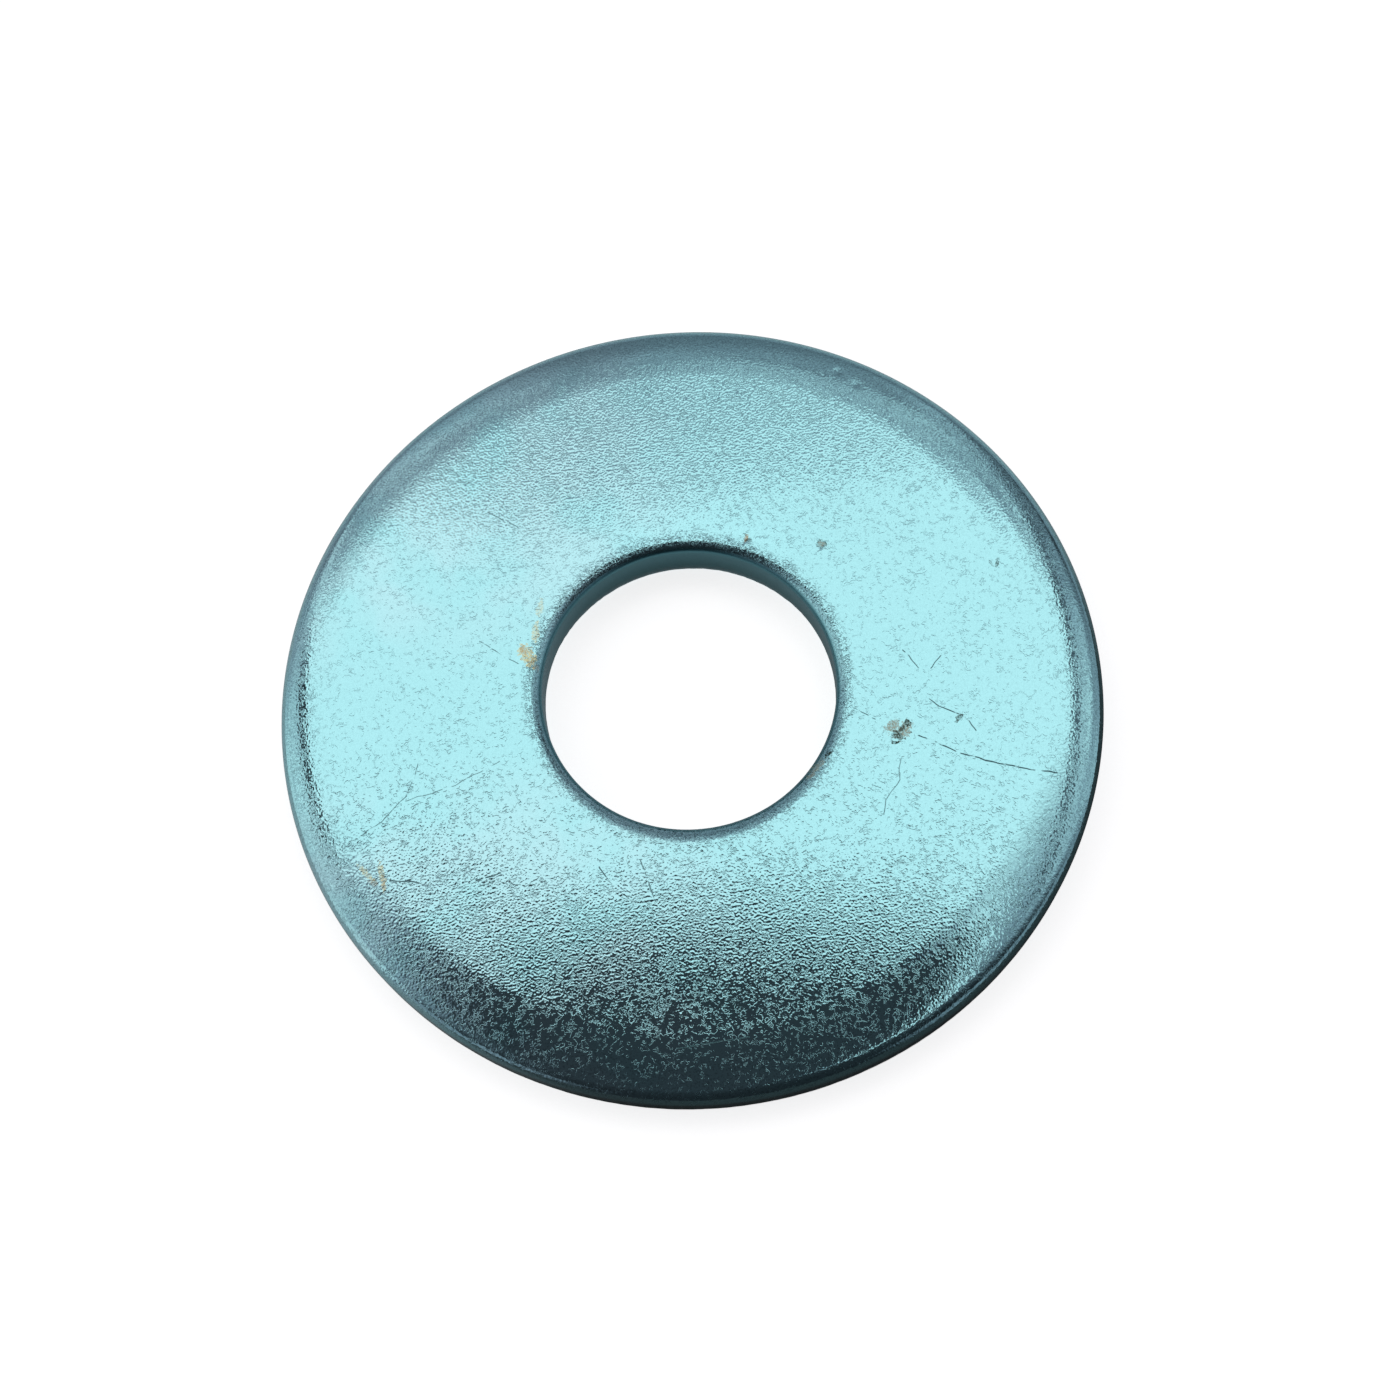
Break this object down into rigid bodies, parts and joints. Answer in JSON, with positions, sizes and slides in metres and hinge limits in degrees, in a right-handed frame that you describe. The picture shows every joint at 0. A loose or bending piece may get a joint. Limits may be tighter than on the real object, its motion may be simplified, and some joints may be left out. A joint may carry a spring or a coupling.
{
  "type": "fender washer",
  "caption": "Broad, thick flat washer with a small central hole and rolled upper edges, zinc plated; it spreads a bolt's load over soft or thin material.",
  "frame": {"origin": "middle of the hole in the plane of the underside, on which the washer lies", "axes": "+Z along the hole, from the underside to the upper seat with the rolled edges; +X and +Y lie in the underside and are free to choose, because the form is round"},
  "size_m": [0.056, 0.056, 0.004],
  "materials": {
    "zinc_plated_steel": "zinc plate with a blue passivated film, satin, with a fine leathery grain left by tumbling"
  },
  "bodies": {
    "root": {"washer": "zinc_plated_steel"}
  },
  "joints": []
}
